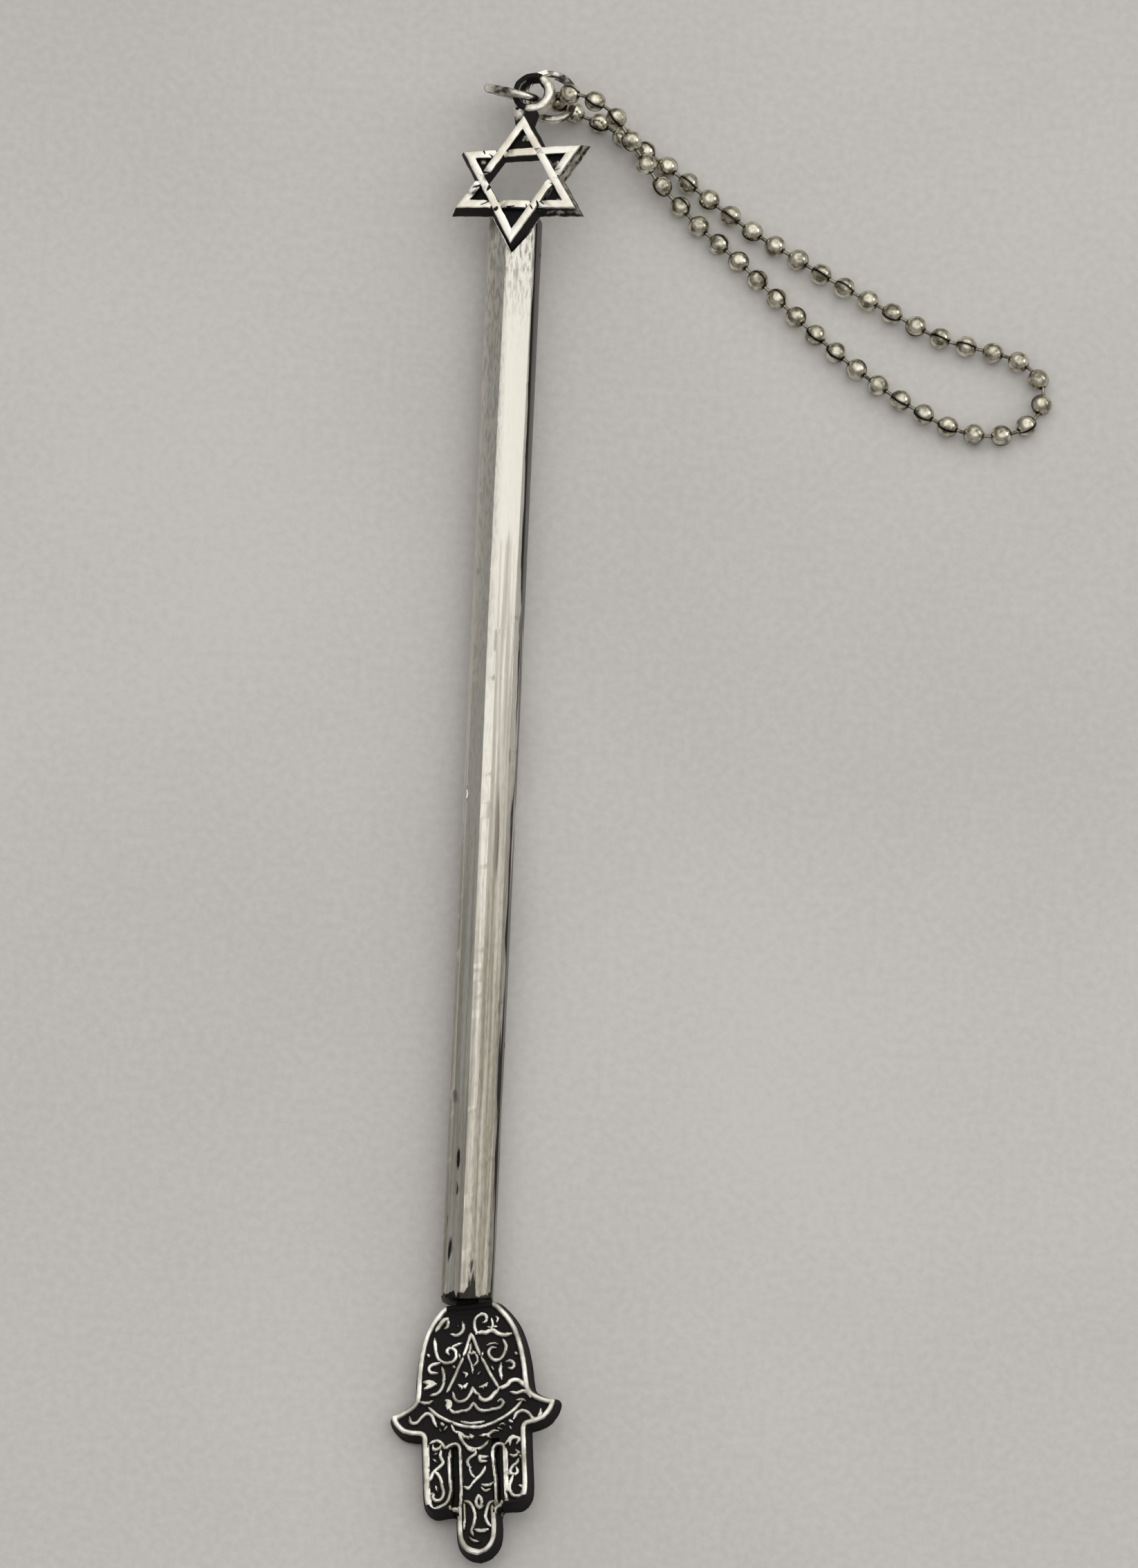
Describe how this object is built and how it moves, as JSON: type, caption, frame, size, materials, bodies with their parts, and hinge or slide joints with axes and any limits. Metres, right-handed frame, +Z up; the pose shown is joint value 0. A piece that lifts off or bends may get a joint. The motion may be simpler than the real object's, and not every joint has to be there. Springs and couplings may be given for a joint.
{
  "type": "torah pointer",
  "caption": "Six-sided silver pointer with a star finial at one end, a small open hand at the other, and a loop of ball chain on a split ring.",
  "frame": {"origin": "middle of the bounding box, on the table the pointer lies on", "axes": "+Y along the shaft from the hand to the star, +X towards the chain, +Z up off the table"},
  "size_m": [0.069, 0.1776, 0.0087],
  "materials": {
    "aged_silver": "polished and worn",
    "oxidised_silver": "cast relief with dark patina",
    "ring_silver": "polished wire",
    "warm_nickel": "polished"
  },
  "bodies": {
    "pointer": {"shaft": "aged_silver", "star_finial": "oxidised_silver", "hamsa_hand": "oxidised_silver"},
    "jump_ring": {"jump_ring": "ring_silver"},
    "split_ring": {"split_ring": "ring_silver"},
    "chain_near": {"chain_bead_40": "warm_nickel", "chain_bead_41": "warm_nickel", "chain_bead_42": "warm_nickel", "chain_bead_43": "warm_nickel", "chain_bead_44": "warm_nickel", "chain_bead_45": "warm_nickel", "chain_bead_46": "warm_nickel", "chain_bead_01": "warm_nickel", "chain_bead_02": "warm_nickel", "chain_bead_03": "warm_nickel", "chain_bead_04": "warm_nickel", "chain_bead_05": "warm_nickel", "chain_bead_06": "warm_nickel", "chain_bead_07": "warm_nickel", "chain_bead_08": "warm_nickel"},
    "chain_middle": {"chain_bead_35": "warm_nickel", "chain_bead_36": "warm_nickel", "chain_bead_37": "warm_nickel", "chain_bead_38": "warm_nickel", "chain_bead_39": "warm_nickel", "chain_bead_09": "warm_nickel", "chain_bead_10": "warm_nickel", "chain_bead_11": "warm_nickel", "chain_bead_12": "warm_nickel", "chain_bead_13": "warm_nickel"},
    "chain_far": {"chain_bead_30": "warm_nickel", "chain_bead_31": "warm_nickel", "chain_bead_32": "warm_nickel", "chain_bead_33": "warm_nickel", "chain_bead_34": "warm_nickel", "chain_bead_14": "warm_nickel", "chain_bead_15": "warm_nickel", "chain_bead_16": "warm_nickel", "chain_bead_17": "warm_nickel", "chain_bead_18": "warm_nickel"},
    "chain_end": {"chain_bead_19": "warm_nickel", "chain_bead_20": "warm_nickel", "chain_bead_21": "warm_nickel", "chain_bead_22": "warm_nickel", "chain_bead_23": "warm_nickel", "chain_bead_24": "warm_nickel", "chain_bead_25": "warm_nickel", "chain_bead_26": "warm_nickel", "chain_bead_27": "warm_nickel", "chain_bead_28": "warm_nickel", "chain_bead_29": "warm_nickel"}
  },
  "joints": [
    {"name": "jump_ring_turn", "type": "hinge", "parent": "pointer", "child": "jump_ring", "pos_m": [-0.0271, 0.0849, 0.00598], "axis": [0, 0, 1], "range_deg": [-4, 15]},
    {"name": "split_ring_turn", "type": "hinge", "parent": "jump_ring", "child": "split_ring", "pos_m": [-0.02612, 0.08568, 0.00381], "axis": [0, 0, 1], "range_deg": [-12, 12]},
    {"name": "chain_turn", "type": "hinge", "parent": "split_ring", "child": "chain_near", "pos_m": [-0.02064, 0.08568, 0.00353], "axis": [0, 0, 1], "range_deg": [-22, 4]},
    {"name": "chain_fold_near", "type": "hinge", "parent": "chain_near", "child": "chain_middle", "pos_m": [-0.00558, 0.07333, 0.0012], "axis": [0.3281, -0.9446, -0.0039], "range_deg": [0, 30]},
    {"name": "chain_fold_middle", "type": "hinge", "parent": "chain_middle", "child": "chain_far", "pos_m": [0.00651, 0.0638, 0.00121], "axis": [0.0721, -0.9974, 0], "range_deg": [0, 30]},
    {"name": "chain_fold_far", "type": "hinge", "parent": "chain_far", "child": "chain_end", "pos_m": [0.01948, 0.05553, 0.00121], "axis": [-0.0677, -0.9977, 0], "range_deg": [0, 30]}
  ]
}
